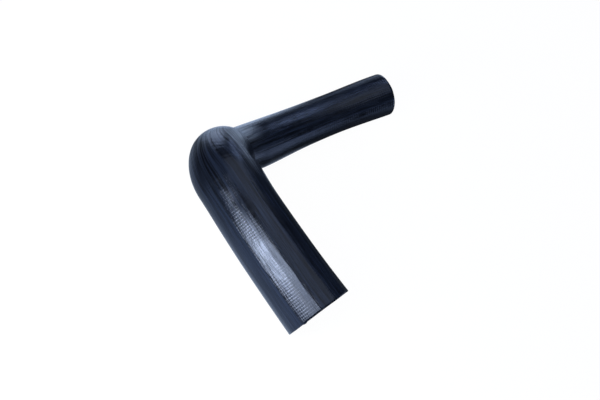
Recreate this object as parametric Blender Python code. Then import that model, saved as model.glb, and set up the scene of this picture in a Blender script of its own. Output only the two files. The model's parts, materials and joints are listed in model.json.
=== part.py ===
"""Charge air hose: one moulded rubber elbow with a wide leg and a narrow leg.

Metres, +Z up. The hose lies on the ground plane the way it comes to rest, with the middle
of its bounding box over the origin. The wide leg opens towards +X, and the narrow leg
reaches straight back from the elbow, along +Y.
"""

import math
from dataclasses import dataclass

import bmesh
import bpy
from mathutils import Matrix, Vector

# Wall of rubber and fabric, the same everywhere.
WALL = 0.0045

# Wide leg. All radii are outer radii, and the open end flares a little.
WIDE_LEG_LENGTH = 0.1517
WIDE_LEG_RADIUS = 0.0318
WIDE_END_RADIUS = 0.0345
WIDE_FLARE_POWER = 1.7
WIDE_LEG_BOW = math.radians(6.9)

# Elbow. Its sections fan out around the crotch. The depth is measured in the elbow's
# plane and the width square to it, and both narrow late, so that the back is a dome.
ELBOW_ANGLE = math.radians(87.0)
CROTCH_RADIUS = 0.003
DEPTH_DELAY = 3.0
WIDTH_DELAY = 4.8
ELBOW_PINCH = 0.0012

# Narrow leg. It draws in to a slight waist and widens again to its open end.
NARROW_LEG_LENGTH = 0.2005
NARROW_ROOT_RADIUS = 0.0221
NARROW_WAIST_RADIUS = 0.0210
NARROW_END_RADIUS = 0.0223
NARROW_WAIST_SHARE = 0.65
NARROW_LEG_BOW = math.radians(9.2)
NARROW_LEG_LIFT = math.radians(23.9)

# Fineness of the mesh.
SIDES = 40
WIDE_LEG_STEPS = 8
ELBOW_STEPS = 14
NARROW_LEG_STEPS = 15

# Edges that turn by more than this are shaded sharp: the four rims at the open ends.
RIM_ANGLE = math.radians(50.0)

RUBBER_COLOUR = (0.012, 0.017, 0.028, 1.0)
RUBBER_ROUGHNESS = 0.38

DOWN = Vector((0.0, 0.0, -1.0))


@dataclass(frozen=True)
class Section:
    """One cross-section of the hose.

    The frame's X axis points to the inner side of the elbow, its Y axis lies across the
    elbow's plane, and its Z axis runs along the hose.
    """

    frame: Matrix
    depth: float
    width: float

    def inset(self, distance):
        """Return the same section, smaller by a distance all round."""
        return Section(self.frame, self.depth - distance, self.width - distance)


def ease(share):
    """Return a share that starts and ends gently."""
    return share * share * (3.0 - 2.0 * share)


def blend(start, end, share):
    """Return the value that lies a share of the way from start to end."""
    return start + (end - start) * share


def walk(frame, length, steps, bow, lift):
    """Follow a leg that bows in the elbow's plane and lifts out of it.

    The bow is even along the leg. The lift is strongest at the start and fades to nothing.
    """
    frames = []
    for step in range(steps):
        fading = 2.0 * (1.0 - (step + 0.5) / steps)
        inward = Matrix.Rotation(bow / steps / 2.0, 4, "Y")
        upward = Matrix.Rotation(lift * fading / steps / 2.0, 4, "X")
        half_turn = inward @ upward
        advance = Matrix.Translation((0.0, 0.0, length / steps))
        frame = frame @ half_turn @ advance @ half_turn
        frames.append(frame)
    return frames


def wide_leg_sections():
    """Return the wide leg's sections, from its open end up to the elbow."""
    start = Matrix(((0.0, 0.0, -1.0), (1.0, 0.0, 0.0), (0.0, -1.0, 0.0))).to_4x4()
    frames = [start] + walk(start, WIDE_LEG_LENGTH, WIDE_LEG_STEPS, WIDE_LEG_BOW, 0.0)
    sections = []
    for step, frame in enumerate(frames):
        flare = (1.0 - step / WIDE_LEG_STEPS) ** WIDE_FLARE_POWER
        radius = blend(WIDE_LEG_RADIUS, WIDE_END_RADIUS, flare)
        sections.append(Section(frame, radius, radius))
    return sections


def elbow_sections(start):
    """Return the elbow's sections after the given one, fanned out around the crotch."""
    pivot = start.frame @ Matrix.Translation((CROTCH_RADIUS + start.depth, 0.0, 0.0))
    sections = []
    for step in range(1, ELBOW_STEPS + 1):
        share = step / ELBOW_STEPS
        depth = blend(start.depth, NARROW_ROOT_RADIUS, ease(share**DEPTH_DELAY))
        width = blend(start.width, NARROW_ROOT_RADIUS, ease(share**WIDTH_DELAY))
        width -= ELBOW_PINCH * math.sin(math.pi * share) ** 2
        turn = Matrix.Rotation(ELBOW_ANGLE * share, 4, "Y")
        reach = Matrix.Translation((-CROTCH_RADIUS - depth, 0.0, 0.0))
        sections.append(Section(pivot @ turn @ reach, depth, width))
    return sections


def narrow_leg_radius(share):
    """Return the narrow leg's outer radius at a share of its length."""
    if share < NARROW_WAIST_SHARE:
        return blend(NARROW_ROOT_RADIUS, NARROW_WAIST_RADIUS, ease(share / NARROW_WAIST_SHARE))
    beyond = (share - NARROW_WAIST_SHARE) / (1.0 - NARROW_WAIST_SHARE)
    return blend(NARROW_WAIST_RADIUS, NARROW_END_RADIUS, ease(beyond))


def narrow_leg_sections(start):
    """Return the narrow leg's sections after the given one, out to its open end."""
    frames = walk(
        start.frame, NARROW_LEG_LENGTH, NARROW_LEG_STEPS, NARROW_LEG_BOW, NARROW_LEG_LIFT
    )
    sections = []
    for step, frame in enumerate(frames, start=1):
        radius = narrow_leg_radius(step / NARROW_LEG_STEPS)
        sections.append(Section(frame, radius, radius))
    return sections


def hose_sections():
    """Return every section of the outer skin, from the wide end to the narrow end."""
    sections = wide_leg_sections()
    sections += elbow_sections(sections[-1])
    sections += narrow_leg_sections(sections[-1])
    return sections


def add_ring(bm, section):
    """Add a section's outline to the mesh and return its corners in order."""
    shape = section.frame @ Matrix.Diagonal((section.depth, section.width, 1.0, 1.0))
    circle = bmesh.ops.create_circle(bm, cap_ends=False, segments=SIDES, radius=1.0, matrix=shape)
    return circle["verts"]


def join_rings(bm, ring, following):
    """Span the strip of faces between two unlike rings, corner to corner."""
    for side in range(SIDES):
        after = (side + 1) % SIDES
        bm.faces.new((ring[side], ring[after], following[after], following[side]))


def build_wall(bm, outer):
    """Loft the outer skin, fold back through the bore and join the two at both ends."""
    bore = [section.inset(WALL) for section in reversed(outer)]
    rings = [add_ring(bm, section) for section in outer + bore]
    for ring, following in zip(rings, rings[1:] + rings[:1]):
        join_rings(bm, ring, following)
    bmesh.ops.recalc_face_normals(bm, faces=bm.faces)


def mass_centre(bm):
    """Return the centre of mass of a closed mesh of even density."""
    moment = Vector()
    volume = 0.0
    for loops in bm.calc_loop_triangles():
        a, b, c = (loop.vert.co for loop in loops)
        part = a.dot(b.cross(c)) / 6.0
        moment += (a + b + c) * (part / 4.0)
        volume += part
    return moment / volume


def lies_over(face, point):
    """Say whether a point, dropped square onto a face's plane, lands inside the face."""
    corners = [vert.co for vert in face.verts]
    for corner, following in zip(corners, corners[1:] + corners[:1]):
        if face.normal.dot((following - corner).cross(point - corner)) < 0.0:
            return False
    return True


def resting_side(bm):
    """Return the outward direction of the side that the hose comes to rest on."""
    centre = mass_centre(bm)
    hull = bmesh.new()
    for vert in bm.verts:
        hull.verts.new(vert.co)
    bmesh.ops.convex_hull(hull, input=hull.verts)
    bmesh.ops.recalc_face_normals(hull, faces=hull.faces)
    stable = [face.normal.copy() for face in hull.faces if lies_over(face, centre)]
    hull.free()
    return max(stable, key=DOWN.dot)


def resting_place(bm, narrow_reach):
    """Return the matrix that lays the hose on the ground, with its narrow leg along Y."""
    settle = resting_side(bm).rotation_difference(DOWN).to_matrix().to_4x4()
    heading = settle @ narrow_reach
    turn = Matrix.Rotation(math.atan2(heading.x, heading.y), 4, "Z") @ settle
    points = [turn @ vert.co for vert in bm.verts]
    low = Vector([min(point[axis] for point in points) for axis in range(3)])
    high = Vector([max(point[axis] for point in points) for axis in range(3)])
    middle = (low + high) / 2.0
    return Matrix.Translation((-middle.x, -middle.y, -low.z)) @ turn


def rubber():
    """Return the satin blue-black rubber."""
    material = bpy.data.materials.new("epdm_rubber")
    material.use_nodes = True
    shader = material.node_tree.nodes["Principled BSDF"]
    shader.inputs["Base Color"].default_value = RUBBER_COLOUR
    shader.inputs["Roughness"].default_value = RUBBER_ROUGHNESS
    shader.inputs["Metallic"].default_value = 0.0
    return material


def build_hose(collection):
    """Build the hose and lay it on the ground."""
    bm = bmesh.new()
    outer = hose_sections()
    build_wall(bm, outer)
    narrow_root = outer[-1 - NARROW_LEG_STEPS].frame.translation
    narrow_tip = outer[-1].frame.translation
    place = resting_place(bm, narrow_tip - narrow_root)
    mesh = bpy.data.meshes.new("hose")
    bm.to_mesh(mesh)
    bm.free()
    mesh.materials.append(rubber())
    mesh.shade_smooth()
    mesh.set_sharp_from_angle(angle=RIM_ANGLE)
    hose = bpy.data.objects.new("hose", mesh)
    hose.matrix_world = place
    collection.objects.link(hose)
    return hose


def main():
    """Clear the scene and build the model."""
    for leftover in list(bpy.data.objects):
        bpy.data.objects.remove(leftover, do_unlink=True)
    collection = bpy.data.collections.new("charge_air_hose")
    bpy.context.scene.collection.children.link(collection)
    build_hose(collection)


main()
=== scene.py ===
"""Looks of a charge air hose: a moulded rubber elbow, cloth-wrapped when it was cured.

The hose is one piece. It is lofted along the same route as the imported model, with the
flats, the imprint of the curing wrap and the cut ends that show on the real rubber.
"""

import json
import logging
import math
from collections.abc import Iterable, Sequence
from dataclasses import dataclass, field, replace
from enum import Enum, IntEnum

import bmesh
import bpy
from mathutils import Euler, Matrix, Vector, noise

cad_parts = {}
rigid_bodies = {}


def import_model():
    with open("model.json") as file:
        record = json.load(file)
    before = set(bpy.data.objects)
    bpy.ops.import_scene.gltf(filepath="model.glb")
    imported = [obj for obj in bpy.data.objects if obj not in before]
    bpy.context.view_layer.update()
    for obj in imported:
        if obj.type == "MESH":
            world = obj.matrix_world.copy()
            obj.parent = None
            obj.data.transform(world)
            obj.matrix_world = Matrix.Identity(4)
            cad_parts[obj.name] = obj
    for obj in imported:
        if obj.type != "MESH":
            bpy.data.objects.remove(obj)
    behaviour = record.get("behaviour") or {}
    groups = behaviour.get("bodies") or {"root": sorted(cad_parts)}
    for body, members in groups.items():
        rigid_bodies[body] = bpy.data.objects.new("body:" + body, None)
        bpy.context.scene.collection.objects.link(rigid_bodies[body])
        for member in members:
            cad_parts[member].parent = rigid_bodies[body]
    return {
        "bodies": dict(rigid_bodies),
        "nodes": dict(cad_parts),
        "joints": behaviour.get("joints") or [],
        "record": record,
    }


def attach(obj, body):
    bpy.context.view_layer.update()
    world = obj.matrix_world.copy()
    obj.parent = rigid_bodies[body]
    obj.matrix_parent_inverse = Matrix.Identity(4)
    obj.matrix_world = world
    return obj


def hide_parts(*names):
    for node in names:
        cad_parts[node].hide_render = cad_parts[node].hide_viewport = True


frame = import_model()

LOG = logging.getLogger("charge_air_hose")
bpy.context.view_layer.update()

# The skin's values kept at the corners of its mesh: the strength of the painted highlight and the
# streaks' lanes.
PAINTED_HIGHLIGHT = "painted_highlight"
LANE = "lane"

# Corners closer than this, in metres, are one corner.
MERGE_DISTANCE = 1e-7

# How fast the wave texture turns at a scale of one, in radians per metre.
WAVE_RATE = 20.0

WHITE = "#ffffff"


class Leg(Enum):
    """The three stretches of the hose, from its wide end to its narrow end."""

    WIDE = "wide leg"
    ELBOW = "elbow"
    NARROW = "narrow leg"


class Zone(IntEnum):
    """The surfaces that differ in finish, in the order of the material slots."""

    SKIN = 0
    CUT = 1
    BORE = 2


def srgb(code: str) -> tuple[float, float, float, float]:
    """Turn a hex colour as the eye sees it into linear light.

    Args:
        code: Six hex digits, with or without a leading hash.

    Returns:
        Linear red, green and blue with an alpha of one.
    """
    digits = code.lstrip("#")
    shares = [int(digits[place : place + 2], 16) / 255.0 for place in (0, 2, 4)]
    linear = [s / 12.92 if s <= 0.04045 else ((s + 0.055) / 1.055) ** 2.4 for s in shares]
    return (linear[0], linear[1], linear[2], 1.0)


def ease(share: float) -> float:
    """Return a share of a change that starts and ends gently."""
    held = min(max(share, 0.0), 1.0)
    return held * held * (3.0 - 2.0 * held)


def blend(start: float, end: float, share: float) -> float:
    """Return the value that lies a share of the way from start to end."""
    return start + (end - start) * share


def wave_scale(pitch: float) -> float:
    """Return the wave texture's scale for ridges a pitch apart, in metres."""
    return math.tau / WAVE_RATE / pitch


def swing(angle: float, middle: float) -> float:
    """Return how far an angle lies from a middle, between -180 and 180 degrees."""
    return (angle - middle + 180.0) % 360.0 - 180.0


@dataclass(frozen=True)
class Section:
    """One cross-section of the outer skin.

    Attributes:
        frame: Its plane: X to the elbow's inner side, Y across, Z along the hose.
        depth: Half its size along X.
        width: Half its size along Y.
        leg: The stretch that it belongs to.
        share: How far along that stretch it lies, from 0 to 1.
    """

    frame: Matrix
    depth: float
    width: float
    leg: Leg
    share: float


@dataclass(frozen=True)
class Route:
    """The hose's sizes and the route of its sections, in metres and radians.

    All radii are outer radii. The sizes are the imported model's own.

    Attributes:
        wall: The thickness of the rubber, the same everywhere.
        wide_length: The wide leg's length.
        wide_radius: Its radius where the elbow starts.
        wide_end_radius: Its radius at the open end.
        wide_flare_power: How late the flare of the open end fades, 1 for a cone.
        wide_bow: The even bow of the wide leg.
        elbow_angle: The elbow's turn.
        crotch_radius: The radius of the elbow's inner side.
        depth_delay: How late the sections get shallower in the elbow's plane.
        width_delay: How late they get narrower across it.
        elbow_pinch: How much narrower the elbow is in its middle.
        narrow_length: The narrow leg's length.
        narrow_root_radius: Its radius where the elbow ends.
        narrow_waist_radius: Its least radius.
        narrow_end_radius: Its radius at the open end.
        narrow_waist_share: How far along the narrow leg its waist lies, from 0 to 1.
        narrow_bow: The even bow of the narrow leg.
        narrow_lift: The turn of the narrow leg out of the elbow's plane.
        rest_turn: How the hose is turned where it lies at rest, in degrees.
        rest_place: Where the middle of its wide end lies then.
    """

    wall: float = 0.0045
    wide_length: float = 0.1517
    wide_radius: float = 0.0318
    wide_end_radius: float = 0.0345
    wide_flare_power: float = 1.7
    wide_bow: float = math.radians(6.9)
    elbow_angle: float = math.radians(87.0)
    crotch_radius: float = 0.003
    depth_delay: float = 3.0
    width_delay: float = 4.8
    elbow_pinch: float = 0.0012
    narrow_length: float = 0.2005
    narrow_root_radius: float = 0.0221
    narrow_waist_radius: float = 0.0210
    narrow_end_radius: float = 0.0223
    narrow_waist_share: float = 0.65
    narrow_bow: float = math.radians(9.2)
    narrow_lift: float = math.radians(23.9)
    rest_turn: tuple[float, float, float] = (-11.3504, 0.4405, 8.369)
    rest_place: tuple[float, float, float] = (0.099922, -0.088639, 0.03447)

    def start(self) -> Matrix:
        """Find the wide end's frame, where the hose lies at rest.

        Returns:
            The frame, with Z into the hose.
        """
        turn = Euler([math.radians(angle) for angle in self.rest_turn], "XYZ")
        axes = Matrix(((0.0, 0.0, -1.0), (1.0, 0.0, 0.0), (0.0, -1.0, 0.0)))
        return Matrix.Translation(self.rest_place) @ (turn.to_matrix() @ axes).to_4x4()

    @staticmethod
    def walk(frame: Matrix, length: float, steps: int, bow: float, lift: float) -> list[Matrix]:
        """Follow a leg that bows in the elbow's plane and lifts out of it.

        Args:
            frame: Where the leg starts.
            length: The leg's length.
            steps: How many frames to return.
            bow: The whole angle of the even bow.
            lift: The whole angle of the lift, which fades to nothing at the end.

        Returns:
            The frames after the first one.
        """
        frames = []
        for step in range(steps):
            fading = 2.0 * (1.0 - (step + 0.5) / steps)
            inward = Matrix.Rotation(bow / steps / 2.0, 4, "Y")
            half_turn = inward @ Matrix.Rotation(lift * fading / steps / 2.0, 4, "X")
            frame = frame @ half_turn @ Matrix.Translation((0.0, 0.0, length / steps)) @ half_turn
            frames.append(frame)
        return frames

    def wide_leg(self, steps: int) -> list[Section]:
        """Lay out the wide leg, from its open end up to the elbow.

        Args:
            steps: How many steps the leg has.

        Returns:
            Its sections, one more than its steps.
        """
        start = self.start()
        frames = [start] + self.walk(start, self.wide_length, steps, self.wide_bow, 0.0)
        sections = []
        for step, here in enumerate(frames):
            share = step / steps
            flare = (1.0 - share) ** self.wide_flare_power
            radius = blend(self.wide_radius, self.wide_end_radius, flare)
            sections.append(Section(here, radius, radius, Leg.WIDE, share))
        return sections

    def elbow(self, start: Section, steps: int) -> list[Section]:
        """Fan the elbow's sections out around the crotch.

        Args:
            start: The wide leg's last section.
            steps: How many steps the elbow has.

        Returns:
            The sections after the given one.
        """
        pivot = start.frame @ Matrix.Translation((self.crotch_radius + start.depth, 0.0, 0.0))
        sections = []
        for step in range(1, steps + 1):
            share = step / steps
            root = self.narrow_root_radius
            depth = blend(start.depth, root, ease(share**self.depth_delay))
            width = blend(start.width, root, ease(share**self.width_delay))
            width -= self.elbow_pinch * math.sin(math.pi * share) ** 2
            turn = Matrix.Rotation(self.elbow_angle * share, 4, "Y")
            reach = Matrix.Translation((-self.crotch_radius - depth, 0.0, 0.0))
            sections.append(Section(pivot @ turn @ reach, depth, width, Leg.ELBOW, share))
        return sections

    def narrow_radius(self, share: float) -> float:
        """Find the narrow leg's radius, which draws in to the waist and widens again.

        Args:
            share: How far along the leg, from 0 to 1.

        Returns:
            The outer radius there.
        """
        waist = self.narrow_waist_share
        if share < waist:
            return blend(self.narrow_root_radius, self.narrow_waist_radius, ease(share / waist))
        beyond = ease((share - waist) / (1.0 - waist))
        return blend(self.narrow_waist_radius, self.narrow_end_radius, beyond)

    def narrow_leg(self, start: Section, steps: int) -> list[Section]:
        """Lay out the narrow leg, from the elbow to its open end.

        Args:
            start: The elbow's last section.
            steps: How many steps the leg has.

        Returns:
            The sections after the given one.
        """
        length, bow, lift = self.narrow_length, self.narrow_bow, self.narrow_lift
        sections = []
        for step, here in enumerate(self.walk(start.frame, length, steps, bow, lift), start=1):
            share = step / steps
            radius = self.narrow_radius(share)
            sections.append(Section(here, radius, radius, Leg.NARROW, share))
        return sections

    def sections(self, wide: int, elbow: int, narrow: int) -> list[Section]:
        """Lay out the whole hose.

        Args:
            wide: How many steps the wide leg has.
            elbow: How many the elbow has.
            narrow: How many the narrow leg has.

        Returns:
            All sections, from the wide end to the narrow end.
        """
        found = self.wide_leg(wide)
        found += self.elbow(found[-1], elbow)
        found += self.narrow_leg(found[-1], narrow)
        return found


@dataclass(frozen=True)
class Flat:
    """A lengthwise flat that a cloth ply leaves on the skin.

    Attributes:
        leg: The stretch that it lies on.
        start: Its first edge, in degrees around the section.
        end: Its other edge, in degrees.
        strength: How flat it is, from 0 for round to 1 for a plane.
        fade: The shares of the leg between which it dies out.
        drift: How far both edges move around by the leg's end, in degrees.
    """

    leg: Leg
    start: float
    end: float
    strength: float
    fade: tuple[float, float]
    drift: float = 0.0

    def dip(self, section: Section, angle: float) -> float:
        """Find how far below the round this flat lies.

        Args:
            section: The section in question.
            angle: The angle around it, in degrees.

        Returns:
            The depth of the flat there, as a share of the radius.
        """
        if section.leg is not self.leg:
            return 0.0
        moved = self.drift * section.share
        middle = (self.start + self.end) / 2.0 + moved
        half = math.radians(self.end - self.start) / 2.0
        away = math.radians(swing(angle, middle))
        if abs(away) >= half:
            return 0.0
        low, high = self.fade
        kept = 1.0 - ease((section.share - low) / (high - low))
        return self.strength * kept * (1.0 - math.cos(half) / math.cos(away))


@dataclass(frozen=True)
class Spot:
    """A soft-edged patch of the skin.

    Attributes:
        reach: Its middle along the skin, in metres from the wide end.
        angle: Its middle around the section, in degrees.
        before: How far it fades towards the wide end, in metres.
        after: How far it fades towards the narrow end, in metres.
        around: How far it fades around the section, in degrees.
        amount: Its value in the middle.
    """

    reach: float
    angle: float
    before: float
    after: float
    around: float
    amount: float

    def at(self, reach: float, angle: float) -> float:
        """Find the patch's value at a place on the skin.

        Args:
            reach: The place along the skin, in metres from the wide end.
            angle: The place around the section, in degrees.

        Returns:
            The value there, which fades from the amount to nothing.
        """
        along = reach - self.reach
        along /= self.before if along < 0.0 else self.after
        around = swing(angle, self.angle) / self.around
        return self.amount * math.exp(-(along**2) - around**2)


@dataclass(frozen=True)
class Station:
    """One ring of the hose's closed wall.

    Attributes:
        section: The outer section that it lies in.
        inset: How far inside the outer skin it lies.
        shift: How far along the hose it is moved out of its section's plane.
        zone: The finish of the strip that leads to it.
        reach: The distance along the strip's surface at this ring.
        step: The distance from the ring before it.
    """

    section: Section
    inset: float
    shift: float
    zone: Zone
    reach: float
    step: float


class NodeGraph:
    """The nodes of a material or of the world, added one at a time."""

    def __init__(self, owner: bpy.types.Material | bpy.types.World) -> None:
        """Empty a material's or a world's nodes.

        Args:
            owner: What the nodes belong to.
        """
        owner.use_nodes = True
        self.owner = owner
        self.tree = owner.node_tree
        self.tree.nodes.clear()

    def add(self, kind: str, settings: dict | None = None, **inputs: object) -> bpy.types.Node:
        """Add a node with its settings and links.

        Args:
            kind: The node's type.
            settings: Values of the node's own properties.
            inputs: A value or an output socket for each input. The input is named with
                underscores for blanks, or with its number after the letter i.

        Returns:
            The new node.
        """
        node = self.tree.nodes.new(kind)
        for name, value in (settings or {}).items():
            setattr(node, name, value)
        for name, value in inputs.items():
            numbered = name[0] == "i" and name[1:].isdigit()
            socket = node.inputs[int(name[1:]) if numbered else name.replace("_", " ")]
            if isinstance(value, bpy.types.NodeSocket):
                self.tree.links.new(value, socket)
            else:
                socket.default_value = value
        return node

    def finish(self, surface: bpy.types.NodeSocket) -> None:
        """Connect the surface, which makes the material or the world complete."""
        kind = "World" if isinstance(self.owner, bpy.types.World) else "Material"
        self.add(f"ShaderNodeOutput{kind}", Surface=surface)


@dataclass(frozen=True)
class WrappedRubber:
    """EPDM rubber, cured under a wound cloth tape that was then peeled off.

    The rubber is blue-black and satin. The tape leaves fine ridges around the hose, the
    plies leave long streaks, and both break the highlight up. Over the elbow's crest and
    top a pale highlight is painted into the colour, where the rubber is also rougher. Its
    pattern lies on the piece's own UV map, which is in metres.

    Attributes:
        colour: The rubber's own colour.
        worn_colour: Its colour on the streaks that stand proud.
        painted_highlight_colour: The colour of the highlight painted over the elbow.
        sheen_colour: The tint of what it mirrors.
        ior: Its index of refraction.
        roughness: Its least and its greatest roughness, from patch to patch.
        painted_highlight_roughness: The roughness where that highlight is painted.
        ridge_pitch: How far apart the tape's ridges are.
        thread_pitch: How far apart the tape's threads are, across the ridges.
        thread_share: How high the threads stand, where the ridges are 1.
        grain: The size of the grains.
        streak_width: The width of the streaks.
        streak_stretch: The streaks' width as a share of their length.
        patches_per_metre: How closely the patches lie where the tape pressed harder.
        imprint_depth: The depth of the tape's imprint.
        grain_depth: The depth of the grains.
        streak_depth: The depth of the streaks.
        pressed_range: The values of the patches between which the imprint gets deeper.
        least_pressed: The share of the imprint where the tape pressed least.
        highlight_streak_range: The values of the streaks between which the painted highlight gets
            stronger.
        least_highlight_share: The share of the painted highlight between the streaks.
        worn_range: The values of the streaks between which the rubber gets paler.
        satin_range: The values of the patches between which it gets rougher.
    """

    colour: str = "#06070b"
    worn_colour: str = "#1d2536"
    painted_highlight_colour: str = "#a3b2c4"
    sheen_colour: str = "#cfdfff"
    ior: float = 1.5
    roughness: tuple[float, float] = (0.12, 0.19)
    painted_highlight_roughness: float = 0.48
    # The real ridges and threads are about 1 mm apart and the real grains about 0.5 mm
    # across. All three are drawn coarser than that, so that they show in a render.
    ridge_pitch: float = 0.0027
    thread_pitch: float = 0.0019
    thread_share: float = 0.4
    grain: float = 0.0016
    streak_width: float = 0.0032
    streak_stretch: float = 0.05
    patches_per_metre: float = 70.0
    imprint_depth: float = 0.00006
    grain_depth: float = 0.00005
    streak_depth: float = 0.00040
    pressed_range: tuple[float, float] = (0.35, 0.6)
    least_pressed: float = 0.15
    highlight_streak_range: tuple[float, float] = (0.38, 0.62)
    least_highlight_share: float = 0.2
    worn_range: tuple[float, float] = (0.35, 0.68)
    satin_range: tuple[float, float] = (0.3, 0.7)

    def material(self) -> bpy.types.Material:
        """Make the skin's material.

        Returns:
            Blue-black satin rubber, with the tape's imprint, streaks and a pale painted highlight.
        """
        rubber = bpy.data.materials.new("epdm_rubber_cloth_wrapped")
        graph = NodeGraph(rubber)
        place = graph.add("ShaderNodeTexCoord").outputs["UV"]
        stretched = graph.add(
            "ShaderNodeMapping", Vector=place, Scale=(1.0, self.streak_stretch, 1.0)
        ).outputs["Vector"]
        streaks = graph.add(
            "ShaderNodeTexNoise",
            Vector=stretched,
            Scale=1.0 / self.streak_width,
            Detail=4.0,
            Roughness=0.62,
        ).outputs["Fac"]
        patches = graph.add(
            "ShaderNodeTexNoise",
            Vector=place,
            Scale=self.patches_per_metre,
            Detail=3.0,
            Roughness=0.55,
        ).outputs["Fac"]
        relief = self.relief(graph, place, streaks, patches)
        # The strength of the pale highlight painted over the elbow's crest and top.
        painted_highlight = graph.add("ShaderNodeAttribute", {"attribute_name": PAINTED_HIGHLIGHT}).outputs["Fac"]
        shader = graph.add(
            "ShaderNodeBsdfPrincipled",
            Base_Color=self.tone(graph, streaks, painted_highlight),
            Roughness=self.satin(graph, patches, painted_highlight),
            Metallic=0.0,
            IOR=self.ior,
            Specular_Tint=srgb(self.sheen_colour),
            Normal=relief,
        )
        graph.finish(shader.outputs["BSDF"])
        return rubber

    def relief(
        self,
        graph: NodeGraph,
        place: bpy.types.NodeSocket,
        streaks: bpy.types.NodeSocket,
        patches: bpy.types.NodeSocket,
    ) -> bpy.types.NodeSocket:
        """Press the tape's imprint, the grain and the streaks into the skin.

        Args:
            graph: The skin's material.
            place: The place on the skin.
            streaks: The height of the streaks.
            patches: How hard the tape pressed.

        Returns:
            The direction that the skin faces.
        """
        grain = graph.add(
            "ShaderNodeTexNoise", Vector=place, Scale=1.0 / self.grain, Detail=2.0
        ).outputs["Fac"]
        ridges = graph.add(
            "ShaderNodeTexWave",
            {"wave_type": "BANDS", "bands_direction": "Y"},
            Vector=place,
            Scale=wave_scale(self.ridge_pitch),
            Distortion=1.6,
            Detail=2.0,
            Detail_Scale=0.6,
        ).outputs["Fac"]
        threads = graph.add(
            "ShaderNodeTexWave",
            {"wave_type": "BANDS", "bands_direction": "X"},
            Vector=place,
            Scale=wave_scale(self.thread_pitch),
            Distortion=2.0,
            Detail=1.0,
        ).outputs["Fac"]
        weave = graph.add(
            "ShaderNodeMath",
            {"operation": "MULTIPLY_ADD"},
            i0=threads,
            i1=self.thread_share,
            i2=ridges,
        ).outputs["Value"]
        pressed = graph.add(
            "ShaderNodeMapRange",
            Value=patches,
            From_Min=self.pressed_range[0],
            From_Max=self.pressed_range[1],
            To_Min=self.least_pressed,
        ).outputs["Result"]
        imprint = graph.add(
            "ShaderNodeMath", {"operation": "MULTIPLY"}, i0=weave, i1=pressed
        ).outputs["Value"]
        normal = graph.add(
            "ShaderNodeBump", Strength=1.0, Distance=self.imprint_depth, Height=imprint
        ).outputs["Normal"]
        for depth, height in ((self.grain_depth, grain), (self.streak_depth, streaks)):
            normal = graph.add(
                "ShaderNodeBump", Strength=1.0, Distance=depth, Height=height, Normal=normal
            ).outputs["Normal"]
        return normal

    def tone(
        self, graph: NodeGraph, streaks: bpy.types.NodeSocket, painted_highlight: bpy.types.NodeSocket
    ) -> bpy.types.NodeSocket:
        """Colour the skin: dark rubber, paler on the streaks and palest where a highlight is
        painted.

        Args:
            graph: The skin's material.
            streaks: The height of the streaks.
            painted_highlight: How strong the painted highlight is.

        Returns:
            The skin's colour.
        """
        # The painted highlight is strongest on the streaks.
        highlight_streaks = graph.add(
            "ShaderNodeMapRange",
            Value=streaks,
            From_Min=self.highlight_streak_range[0],
            From_Max=self.highlight_streak_range[1],
            To_Min=self.least_highlight_share,
        ).outputs["Result"]
        streaked_highlight = graph.add(
            "ShaderNodeMath", {"operation": "MULTIPLY"}, i0=painted_highlight, i1=highlight_streaks
        ).outputs["Value"]
        worn = graph.add(
            "ShaderNodeMapRange",
            Value=streaks,
            From_Min=self.worn_range[0],
            From_Max=self.worn_range[1],
        ).outputs["Result"]
        streaked = graph.add(
            "ShaderNodeMix",
            {"data_type": "RGBA"},
            Factor=worn,
            i6=srgb(self.colour),
            i7=srgb(self.worn_colour),
        ).outputs[2]
        # Lay the pale painted highlight over the elbow's crest and top.
        return graph.add(
            "ShaderNodeMix",
            {"data_type": "RGBA"},
            Factor=streaked_highlight,
            i6=streaked,
            i7=srgb(self.painted_highlight_colour),
        ).outputs[2]

    def satin(
        self, graph: NodeGraph, patches: bpy.types.NodeSocket, painted_highlight: bpy.types.NodeSocket
    ) -> bpy.types.NodeSocket:
        """Make the skin satin, a little rougher in patches and rougher where the highlight is
        painted.

        Args:
            graph: The skin's material.
            patches: How hard the tape pressed.
            painted_highlight: How strong the painted highlight is.

        Returns:
            The skin's roughness.
        """
        satin = graph.add(
            "ShaderNodeMapRange",
            Value=patches,
            From_Min=self.satin_range[0],
            From_Max=self.satin_range[1],
            To_Min=self.roughness[0],
            To_Max=self.roughness[1],
        ).outputs["Result"]
        return graph.add(
            "ShaderNodeMix", Factor=painted_highlight, A=satin, B=self.painted_highlight_roughness
        ).outputs["Result"]


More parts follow.
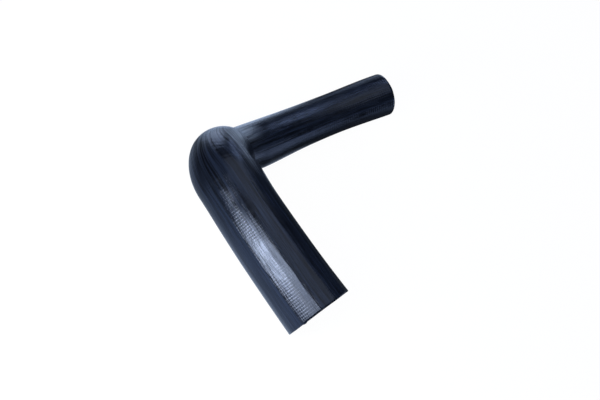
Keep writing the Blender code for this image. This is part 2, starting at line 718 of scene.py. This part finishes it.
@dataclass(frozen=True)
class CutRubber:
    """The same rubber where a knife cut it: matte, with the plies' edges as faint rings.

    Attributes:
        colour: The cut rubber's colour.
        ply_colour: The colour of a ply's edge.
        ply_pitch: How far apart the plies are, through the wall.
        ply_sharpness: How thin the plies' edges are drawn, 1 for broad.
        grains_per_metre: How closely the grains lie that the knife tore.
        relief_depth: The depth of the plies and the grains.
        roughness: The cut's roughness.
    """

    colour: str = "#0d1017"
    ply_colour: str = "#20262f"
    ply_pitch: float = 0.0015
    ply_sharpness: float = 5.0
    grains_per_metre: float = 1800.0
    relief_depth: float = 0.00012
    roughness: float = 0.72

    def material(self) -> bpy.types.Material:
        """Make the cut ends' material.

        Returns:
            Matte dark rubber with faint rings.
        """
        rubber = bpy.data.materials.new("epdm_rubber_cut")
        graph = NodeGraph(rubber)
        place = graph.add("ShaderNodeTexCoord").outputs["UV"]
        plies = graph.add(
            "ShaderNodeTexWave",
            {"wave_type": "BANDS", "bands_direction": "Y"},
            Vector=place,
            Scale=wave_scale(self.ply_pitch),
            Distortion=0.8,
            Detail=2.0,
        ).outputs["Fac"]
        grain = graph.add(
            "ShaderNodeTexNoise", Vector=place, Scale=self.grains_per_metre, Detail=2.0
        ).outputs["Fac"]
        height = graph.add(
            "ShaderNodeMath", {"operation": "ADD"}, i0=plies, i1=grain
        ).outputs["Value"]
        relief = graph.add(
            "ShaderNodeBump", Strength=0.6, Distance=self.relief_depth, Height=height
        ).outputs["Normal"]
        edge = graph.add(
            "ShaderNodeMath", {"operation": "POWER"}, i0=plies, i1=self.ply_sharpness
        ).outputs["Value"]
        colour = graph.add(
            "ShaderNodeMix",
            {"data_type": "RGBA"},
            Factor=edge,
            i6=srgb(self.colour),
            i7=srgb(self.ply_colour),
        ).outputs[2]
        shader = graph.add(
            "ShaderNodeBsdfPrincipled",
            Base_Color=colour,
            Roughness=self.roughness,
            Metallic=0.0,
            Normal=relief,
        )
        graph.finish(shader.outputs["BSDF"])
        return rubber


@dataclass(frozen=True)
class BoreRubber:
    """The lining, cured against a smooth mandrel: dark, even and a little glossy.

    Attributes:
        colour: The lining's colour.
        roughness: Its roughness.
        drags_per_metre: How closely the marks lie that the mandrel left as it came out.
        drag_stretch: Their width as a share of their length.
        drag_depth: Their depth.
    """

    colour: str = "#10131b"
    roughness: float = 0.42
    drags_per_metre: float = 400.0
    drag_stretch: float = 0.05
    drag_depth: float = 0.0001

    def material(self) -> bpy.types.Material:
        """Make the bore's material.

        Returns:
            Dark smooth rubber with faint marks along the bore.
        """
        rubber = bpy.data.materials.new("epdm_rubber_lining")
        graph = NodeGraph(rubber)
        place = graph.add("ShaderNodeTexCoord").outputs["UV"]
        stretched = graph.add(
            "ShaderNodeMapping", Vector=place, Scale=(1.0, self.drag_stretch, 1.0)
        ).outputs["Vector"]
        drag = graph.add(
            "ShaderNodeTexNoise", Vector=stretched, Scale=self.drags_per_metre, Detail=2.0
        ).outputs["Fac"]
        relief = graph.add(
            "ShaderNodeBump", Strength=0.5, Distance=self.drag_depth, Height=drag
        ).outputs["Normal"]
        shader = graph.add(
            "ShaderNodeBsdfPrincipled",
            Base_Color=srgb(self.colour),
            Roughness=self.roughness,
            Metallic=0.0,
            Normal=relief,
        )
        graph.finish(shader.outputs["BSDF"])
        return rubber


@dataclass
class Hose:
    """The whole moulded hose: one closed wall with an outer skin, two cut ends and a bore.

    Angles around a section are in degrees, with 0 at the elbow's inner side. The upper side
    of the hose, as it lies, has negative ones.

    Attributes:
        route: Its sizes and its route.
        sides: Corners around each ring.
        skin_steps: Steps along the skin of the wide leg, the elbow and the narrow leg.
        bore_steps: The same for the bore.
        rim: The rounding of the cut edges.
        cut_rings: How far inside the skin the rings on a cut end lie, between its rims.
        cut_wave: How far the cut ends are from flat.
        cut_waves: How quickly a cut end waves around the hose.
        cut_offset: How unlike the two cut ends wave, per metre of radius.
        flash_angle: Where a nib of flash stands on the wide end.
        flash_height: How far the nib stands out.
        flash_spread: Half the angle that the nib takes up.
        drape_end: The shares of the elbow between which the plies turn the corner.
        drape_side: The angle from the outer side over which they come to lie straight.
        flats: The flats that the plies leave on the skin.
        swells: The swells and the hollow of the skin, in metres.
        painted_highlights: The patches where a pale highlight is painted on, where 1 is the
            strongest.
        elbow_start: The frame in which the wide leg ends.
    """

    route: Route = field(default_factory=Route)
    sides: int = 180
    skin_steps: tuple[int, int, int] = (60, 56, 84)
    bore_steps: tuple[int, int, int] = (16, 28, 24)
    rim: float = 0.0004
    cut_rings: tuple[float, float] = (0.0015, 0.003)
    cut_wave: float = 0.0003
    cut_waves: float = 2.0
    cut_offset: float = 90.0
    flash_angle: float = -170.0
    flash_height: float = 0.0007
    flash_spread: float = 2.0
    drape_end: tuple[float, float] = (0.78, 0.97)
    drape_side: float = 62.0
    flats: tuple[Flat, ...] = (
        Flat(Leg.WIDE, 157.0, 187.0, 0.45, (0.6, 1.0)),
        Flat(Leg.WIDE, 187.0, 213.0, 0.7, (0.6, 0.95), drift=-2.0),
        Flat(Leg.WIDE, 213.0, 226.0, 0.7, (0.6, 0.95), drift=-5.0),
        Flat(Leg.WIDE, 226.0, 253.0, 0.45, (0.6, 0.95), drift=-5.0),
        Flat(Leg.WIDE, 253.0, 281.0, 0.25, (0.6, 0.95)),
        Flat(Leg.WIDE, 20.0, 48.0, 0.7, (0.6, 0.95)),
        Flat(Leg.NARROW, 60.0, 90.0, 0.6, (0.95, 1.3)),
    )
    swells: tuple[Spot, ...] = (
        Spot(0.090, 180.0, 0.050, 0.050, 900.0, 0.0005),
        Spot(0.232, 5.0, 0.014, 0.045, 55.0, 0.0020),
        Spot(0.206, 205.0, 0.012, 0.070, 60.0, 0.0018),
        Spot(0.163, 155.0, 0.014, 0.012, 35.0, 0.0009),
        Spot(0.150, 315.0, 0.020, 0.012, 30.0, 0.0013),
        Spot(0.190, 280.0, 0.016, 0.020, 35.0, -0.0030),
    )
    # Where a pale highlight is painted over the elbow's crest and top.
    painted_highlights: tuple[Spot, ...] = (
        Spot(0.186, 200.0, 0.009, 0.030, 55.0, 0.42),
        Spot(0.196, 246.0, 0.010, 0.008, 17.0, 0.95),
        Spot(0.188, 263.0, 0.010, 0.009, 13.0, 0.75),
        Spot(0.178, 276.0, 0.012, 0.010, 12.0, 0.35),
        Spot(0.158, 284.0, 0.016, 0.012, 18.0, 0.16),
        Spot(0.209, 240.0, 0.008, 0.013, 20.0, 0.60),
        Spot(0.204, 325.0, 0.006, 0.010, 18.0, 0.20),
    )
    elbow_start: Matrix = field(init=False)

    def __post_init__(self) -> None:
        """Find the frame in which the wide leg ends."""
        self.elbow_start = self.route.wide_leg(self.skin_steps[0])[-1].frame

    def lay(
        self, sections: Sequence[Section], inset: float, rim: float, zone: Zone
    ) -> list[Station]:
        """Lay the rings of the skin or the bore from one cut end to the other.

        Args:
            sections: The sections that they lie in, in order.
            inset: How far inside the outer skin they lie.
            rim: How far along the hose the first ring is moved, and the last one back.
            zone: Their finish.

        Returns:
            The rings, in the same order.
        """
        stations = [Station(sections[0], inset, rim, zone, self.rim, self.rim)]
        reach = 0.0
        for before, section in zip(sections, sections[1:]):
            step = (section.frame.translation - before.frame.translation).length
            reach += step
            stations.append(Station(section, inset, 0.0, zone, reach, step))
        stations[-1] = replace(stations[-1], shift=-rim)
        return stations

    def cut_stations(self, section: Section) -> list[Station]:
        """Lay out a cut end, from its outer rim to its inner one.

        Args:
            section: The hose's section at that end.

        Returns:
            The cut end's rings.
        """
        depths = [self.rim, *self.cut_rings, self.route.wall - self.rim]
        stations = []
        reach = 0.0
        for depth in depths:
            stations.append(Station(section, depth, 0.0, Zone.CUT, depth, depth - reach))
            reach = depth
        return stations

    def stations(self) -> list[Station]:
        """Lay out the closed wall: skin, narrow end, bore, wide end and back to the skin.

        Returns:
            All rings, with the first one again at the end.
        """
        skin = self.lay(self.route.sections(*self.skin_steps), 0.0, self.rim, Zone.SKIN)
        narrow_cut = self.cut_stations(skin[-1].section)
        lining = self.route.sections(*self.bore_steps)[::-1]
        bore = self.lay(lining, self.route.wall, -self.rim, Zone.BORE)
        wide_cut = self.cut_stations(skin[0].section)[::-1]
        return skin + narrow_cut + bore + wide_cut + [skin[0]]

    def angle(self, side: int) -> float:
        """Return the angle of a ring's corner, from -180 degrees up."""
        return 360.0 * side / self.sides - 180.0

    def cut_shift(self, section: Section, angle: float) -> float:
        """Find how far a cut end is from flat.

        Args:
            section: The hose's section at that end.
            angle: The angle around it, in degrees.

        Returns:
            How far the cut lies along the hose there, in metres.
        """
        turn = math.radians(angle)
        around = Vector((math.cos(turn), math.sin(turn), 0.0)) * self.cut_waves
        around.z = section.depth * self.cut_offset
        shift = self.cut_wave * noise.noise(around)
        if section.leg is Leg.WIDE:
            off = swing(angle, self.flash_angle) / self.flash_spread
            shift -= self.flash_height * math.exp(-(off**2))
        return shift

    def corner(self, station: Station, side: int) -> Vector:
        """Place one corner of a ring.

        Args:
            station: The ring.
            side: The corner's number around it.

        Returns:
            The corner's place.
        """
        section = station.section
        angle = self.angle(side)
        turn = math.radians(angle)
        dip = 0.0
        if station.zone is not Zone.BORE:
            dip = sum(flat.dip(section, angle) for flat in self.flats)
        shift = station.shift
        if station.zone is Zone.CUT or station.shift:
            shift += self.cut_shift(section, angle)
        lift = -station.inset
        if station.zone is Zone.SKIN:
            lift += sum(swell.at(station.reach, angle) for swell in self.swells)
        depth = section.depth * (1.0 - dip) + lift
        width = section.width * (1.0 - dip) + lift
        return section.frame @ Vector((depth * math.cos(turn), width * math.sin(turn), shift))

    def place_ring(
        self, bm: bmesh.types.BMesh, ring: Sequence[bmesh.types.BMVert], station: Station
    ) -> None:
        """Move a ring's corners to their places, and note their painted highlight and their lanes.

        Args:
            bm: The mesh in work.
            ring: The ring's corners, in order.
            station: Where the ring goes.
        """
        painted_highlight = bm.verts.layers.float[PAINTED_HIGHLIGHT]
        lane = bm.verts.layers.float[LANE]
        for side, vert in enumerate(ring):
            angle = self.angle(side)
            vert.co = self.corner(station, side)
            vert[lane] = self.lane(station, angle, vert.co)
            if station.zone is Zone.SKIN:
                # How strongly the pale highlight is painted on at this corner.
                vert[painted_highlight] = min(sum(spot.at(station.reach, angle) for spot in self.painted_highlights), 1.0)

    def lane(self, station: Station, angle: float, place: Vector) -> float:
        """Find the angle at which a corner's streak runs down the wide leg.

        On the upper side the plies are laid straight on from the wide leg over the back of
        the elbow, and turn into the narrow leg at its root.

        Args:
            station: The corner's ring.
            angle: The corner's own angle, in degrees.
            place: The corner's place.

        Returns:
            The streak's angle, in degrees.
        """
        section = station.section
        if station.zone is not Zone.SKIN or section.leg is not Leg.ELBOW or angle >= 0.0:
            return angle
        across = (self.elbow_start.inverted() @ place).x / self.route.wide_radius
        straight = -math.degrees(math.acos(min(max(across, -1.0), 1.0)))
        low, high = self.drape_end
        draped = ease((high - section.share) / (high - low))
        draped *= ease((angle + 180.0) / self.drape_side)
        return blend(angle, straight, draped)

    def extend(
        self, bm: bmesh.types.BMesh, ring: list[bmesh.types.BMVert], station: Station
    ) -> list[bmesh.types.BMVert]:
        """Extrude a ring to the next station and finish the strip between them.

        Args:
            bm: The mesh in work.
            ring: The corners of the last ring, in order.
            station: Where the new ring goes.

        Returns:
            The new ring's corners, in the same order.
        """
        edges = [bm.edges.get((a, b)) for a, b in zip(ring, ring[1:] + ring[:1])]
        made = bmesh.ops.extrude_edge_only(bm, edges=edges)["geom"]
        fresh = {item for item in made if isinstance(item, bmesh.types.BMVert)}
        faces = [item for item in made if isinstance(item, bmesh.types.BMFace)]
        following = []
        for vert in ring:
            ends = (edge.other_vert(vert) for edge in vert.link_edges)
            following.append(next(end for end in ends if end in fresh))
        self.place_ring(bm, following, station)
        self.finish_strip(bm, faces, ring, following, station)
        return following

    def finish_strip(
        self,
        bm: bmesh.types.BMesh,
        faces: Iterable[bmesh.types.BMFace],
        ring: Sequence[bmesh.types.BMVert],
        following: Sequence[bmesh.types.BMVert],
        station: Station,
    ) -> None:
        """Give a strip of faces its finish and its UV map, which is in metres.

        Args:
            bm: The mesh in work.
            faces: The strip's faces.
            ring: The corners that it starts from, in order.
            following: The corners that it leads to, in the same order.
            station: Where it leads to.
        """
        layer = bm.loops.layers.uv.verify()
        lane = bm.verts.layers.float[LANE]
        turn = math.tau * self.route.wide_radius
        place = {vert: (side, station.reach - station.step) for side, vert in enumerate(ring)}
        place.update({vert: (side, station.reach) for side, vert in enumerate(following)})
        for face in faces:
            face.material_index = int(station.zone)
            face.smooth = True
            wraps = any(place[loop.vert][0] == self.sides - 1 for loop in face.loops)
            for loop in face.loops:
                side, reach = place[loop.vert]
                around = loop.vert[lane]
                if wraps and side == 0:
                    around += 360.0
                loop[layer].uv = (turn * around / 360.0, reach)

    def build(self) -> bpy.types.Object:
        """Loft the closed wall.

        Returns:
            The wall's object, at the origin.
        """
        bm = bmesh.new()
        for name in (PAINTED_HIGHLIGHT, LANE):
            bm.verts.layers.float.new(name)
        stations = self.stations()
        circle = bmesh.ops.create_circle(bm, cap_ends=False, segments=self.sides, radius=1.0)
        ring = list(circle["verts"])
        self.place_ring(bm, ring, stations[0])
        for station in stations[1:]:
            ring = self.extend(bm, ring, station)
        bmesh.ops.remove_doubles(bm, verts=bm.verts, dist=MERGE_DISTANCE)
        bmesh.ops.recalc_face_normals(bm, faces=bm.faces)
        mesh = bpy.data.meshes.new("hose_wall")
        bm.to_mesh(mesh)
        bm.free()
        piece = bpy.data.objects.new("hose_wall", mesh)
        bpy.context.scene.collection.objects.link(piece)
        return piece

    def dress(self, piece: bpy.types.Object) -> None:
        """Give the wall its three finishes, in the order of the zones."""
        for finish in (WrappedRubber(), CutRubber(), BoreRubber()):
            piece.data.materials.append(finish.material())

    def make(self) -> bpy.types.Object:
        """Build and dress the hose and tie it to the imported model.

        Returns:
            The finished piece.
        """
        piece = self.build()
        self.dress(piece)
        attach(piece, "root")
        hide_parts("hose")
        return piece


@dataclass(frozen=True)
class Softbox:
    """A rectangular lamp, aimed at a point.

    Attributes:
        name: Its name.
        place: Where it stands, in metres.
        aim: The point that it faces.
        size: Its width and its height.
        brightness: How bright its face looks, where 1 is the white of paper.
        colour: Its colour.
    """

    name: str
    place: tuple[float, float, float]
    aim: tuple[float, float, float]
    size: tuple[float, float]
    brightness: float
    colour: str = WHITE

    def make(self) -> bpy.types.Object:
        """Set the lamp up.

        Returns:
            The lamp's object.
        """
        lamp = bpy.data.lights.new(self.name, "AREA")
        lamp.shape = "RECTANGLE"
        lamp.size, lamp.size_y = self.size
        lamp.energy = self.brightness * math.pi * self.size[0] * self.size[1]
        lamp.color = srgb(self.colour)[:3]
        back = (Vector(self.place) - Vector(self.aim)).normalized()
        holder = bpy.data.objects.new(self.name, lamp)
        holder.location = self.place
        holder.rotation_euler = back.to_track_quat("Z", "Y").to_euler()
        bpy.context.scene.collection.objects.link(holder)
        return holder


@dataclass(frozen=True)
class Pool:
    """A round pool of light painted on the floor as a glow, which only reflections see.

    Attributes:
        place: Its middle on the floor, in metres.
        size: Half its length along X and along Y.
        brightness: Its brightness, where 1 is white.
        fade: The outer share of it over which it fades out.
    """

    place: tuple[float, float]
    size: tuple[float, float]
    brightness: float
    fade: float = 1.0

    def add_to(
        self, graph: NodeGraph, place: bpy.types.NodeSocket, before: bpy.types.NodeSocket | float
    ) -> bpy.types.NodeSocket:
        """Add the pool to a brightness.

        Args:
            graph: The floor's material.
            place: The place on the floor.
            before: The brightness without this pool.

        Returns:
            The brightness with this pool.
        """
        across, along = 1.0 / self.size[0], 1.0 / self.size[1]
        shifted = graph.add(
            "ShaderNodeMapping",
            Vector=place,
            Location=(-self.place[0] * across, -self.place[1] * along, 0.0),
            Scale=(across, along, 1.0),
        ).outputs["Vector"]
        pool = graph.add(
            "ShaderNodeTexGradient", {"gradient_type": "SPHERICAL"}, Vector=shifted
        ).outputs["Fac"]
        lit = graph.add(
            "ShaderNodeMapRange", Value=pool, From_Max=self.fade, To_Max=self.brightness
        ).outputs["Result"]
        return graph.add(
            "ShaderNodeMath", {"operation": "ADD"}, i0=lit, i1=before
        ).outputs["Value"]


# Where the key light aims: the middle of the wide leg's highlight.
KEY_AIM = (0.03, -0.115, 0.055)

# The tint of the lamps behind the hose and beside it.
COOL = "#c4d6fa"


@dataclass
class Studio:
    """The plain pale floor, the soft light and the camera.

    Attributes:
        camera_place: Where the camera stands, in metres.
        camera_turn: How it is turned, in degrees.
        lens: Its focal length, in millimetres.
        sensor: The width of its sensor, in millimetres.
        floor_size: The length of the floor's sides.
        floor_colour: The floor's own colour, which the lamps light up.
        floor_seen: How much white the floor adds for the camera.
        floor_mirrored: How bright the floor looks in the rubber outside the pools.
        mirrored_colour: The tint of the floor in the rubber.
        pools: The pools of light on the floor.
        world_colour: The tint of the even light in the room.
        world_light: How strong that light is.
        lamps: The lamps.
    """

    camera_place: tuple[float, float, float] = (0.22579, -0.91276, 1.05338)
    camera_turn: tuple[float, float, float] = (30.7212, -29.6049, 54.6583)
    lens: float = 84.0
    sensor: float = 36.0
    floor_size: float = 12.0
    floor_colour: str = "#404449"
    floor_seen: float = 0.97
    floor_mirrored: float = 0.03
    mirrored_colour: str = "#b0c3e0"
    pools: tuple[Pool, ...] = (
        Pool((0.25, -0.30), (0.36, 0.28), 1.4, 0.3),
        Pool((-0.05, -0.13), (0.14, 0.05), 0.6, 0.6),
        Pool((-0.42, 0.0), (0.40, 0.14), 2.2, 0.35),
        Pool((-0.50, 0.36), (0.45, 0.30), 1.1, 0.4),
        Pool((0.34, 0.34), (0.36, 0.32), 0.8, 0.5),
    )
    world_colour: str = "#a9c2ea"
    world_light: float = 0.05
    lamps: tuple[Softbox, ...] = (
        Softbox("key_low", (0.024, -0.60, 0.13), KEY_AIM, (0.070, 0.12), 24.0),
        Softbox("key_mid", (-0.002, -0.60, 0.25), KEY_AIM, (0.070, 0.12), 32.0),
        Softbox("key_top", (-0.014, -0.61, 0.50), KEY_AIM, (0.072, 0.38), 12.0),
        Softbox("key_side", (0.082, -0.60, 0.205), KEY_AIM, (0.040, 0.22), 6.0),
        Softbox("front_box", (0.14, -0.64, 0.42), (0.05, -0.11, 0.05), (0.30, 0.66), 4.6),
        Softbox("left_box", (-0.98, 0.12, 0.30), (-0.08, -0.09, 0.05), (0.55, 0.7), 3.2, "#dce8ff"),
        Softbox("back_box", (-0.69, 0.74, 0.80), (-0.07, 0.06, 0.05), (0.36, 0.26), 3.5, COOL),
        Softbox("low_box", (-0.62, 0.92, 0.10), (-0.07, 0.06, 0.05), (0.40, 0.24), 2.6, COOL),
        Softbox("right_box", (0.62, 0.85, 0.22), (0.05, 0.1, 0.05), (0.7, 0.4), 1.3, COOL),
        Softbox("top_box", (-0.25, 0.1, 1.6), (0.0, 0.0, 0.0), (1.4, 1.4), 0.7),
    )

    def floor(self) -> bpy.types.Object:
        """Lay the floor, which shows white to the camera, keeps the shadow and glows with painted
        pools of light in reflections.

        Returns:
            The floor's object.
        """
        bm = bmesh.new()
        bmesh.ops.create_grid(bm, x_segments=1, y_segments=1, size=self.floor_size / 2.0)
        mesh = bpy.data.meshes.new("floor")
        bm.to_mesh(mesh)
        bm.free()
        floor = bpy.data.objects.new("floor", mesh)
        bpy.context.scene.collection.objects.link(floor)
        sheet = bpy.data.materials.new("studio_paper")
        graph = NodeGraph(sheet)
        paper = graph.add(
            "ShaderNodeBsdfDiffuse", Color=srgb(self.floor_colour)
        ).outputs["BSDF"]
        rays = graph.add("ShaderNodeLightPath")
        seen = graph.add(
            "ShaderNodeMath",
            {"operation": "MULTIPLY"},
            i0=rays.outputs["Is Camera Ray"],
            i1=self.floor_seen,
        ).outputs["Value"]
        place = graph.add("ShaderNodeTexCoord").outputs["Object"]
        # Painted pools of light: a glow on the floor that only reflections see.
        pooled: bpy.types.NodeSocket | float = self.floor_mirrored
        for pool in self.pools:
            pooled = pool.add_to(graph, place, pooled)
        bounced = graph.add(
            "ShaderNodeMath",
            {"operation": "ADD"},
            i0=rays.outputs["Is Glossy Ray"],
            i1=rays.outputs["Is Transmission Ray"],
        ).outputs["Value"]
        mirrored = graph.add(
            "ShaderNodeMath",
            {"operation": "MULTIPLY_ADD"},
            i0=bounced,
            i1=pooled,
            i2=seen,
        ).outputs["Value"]
        tint = graph.add(
            "ShaderNodeMix",
            {"data_type": "RGBA"},
            Factor=rays.outputs["Is Camera Ray"],
            i6=srgb(self.mirrored_colour),
            i7=srgb(WHITE),
        ).outputs[2]
        light = graph.add(
            "ShaderNodeEmission", Color=tint, Strength=mirrored
        ).outputs["Emission"]
        both = graph.add("ShaderNodeAddShader", i0=paper, i1=light).outputs["Shader"]
        graph.finish(both)
        mesh.materials.append(sheet)
        return floor

    def world(self) -> None:
        """Fill the room with a faint even light, and show white behind the floor."""
        world = bpy.data.worlds.new("studio")
        bpy.context.scene.world = world
        graph = NodeGraph(world)
        seen = graph.add("ShaderNodeLightPath").outputs["Is Camera Ray"]
        tint = graph.add(
            "ShaderNodeMix",
            {"data_type": "RGBA"},
            Factor=seen,
            i6=srgb(self.world_colour),
            i7=srgb(WHITE),
        ).outputs[2]
        strength = graph.add(
            "ShaderNodeMix", Factor=seen, A=self.world_light, B=1.0
        ).outputs["Result"]
        light = graph.add("ShaderNodeBackground", Color=tint, Strength=strength)
        graph.finish(light.outputs["Background"])

    def camera(self) -> bpy.types.Object:
        """Set the camera at the photograph's viewing angle.

        Returns:
            The camera's object.
        """
        data = bpy.data.cameras.new("camera")
        data.sensor_width = self.sensor
        data.lens = self.lens
        camera = bpy.data.objects.new("camera", data)
        camera.location = self.camera_place
        camera.rotation_euler = [math.radians(angle) for angle in self.camera_turn]
        bpy.context.scene.collection.objects.link(camera)
        bpy.context.scene.camera = camera
        return camera

    def make(self) -> None:
        """Set the whole studio up."""
        self.camera()
        self.floor()
        self.world()
        for lamp in self.lamps:
            lamp.make()
        bpy.context.scene.view_settings.view_transform = "Standard"


def report(piece: bpy.types.Object) -> None:
    """Log a finished piece's name and its number of faces."""
    LOG.info("%s: %d faces", piece.name, len(piece.data.polygons))


def main() -> None:
    """Build the studio and the hose."""
    logging.basicConfig(level=logging.INFO)
    Studio().make()
    report(Hose().make())


if __name__ == "__main__":
    main()
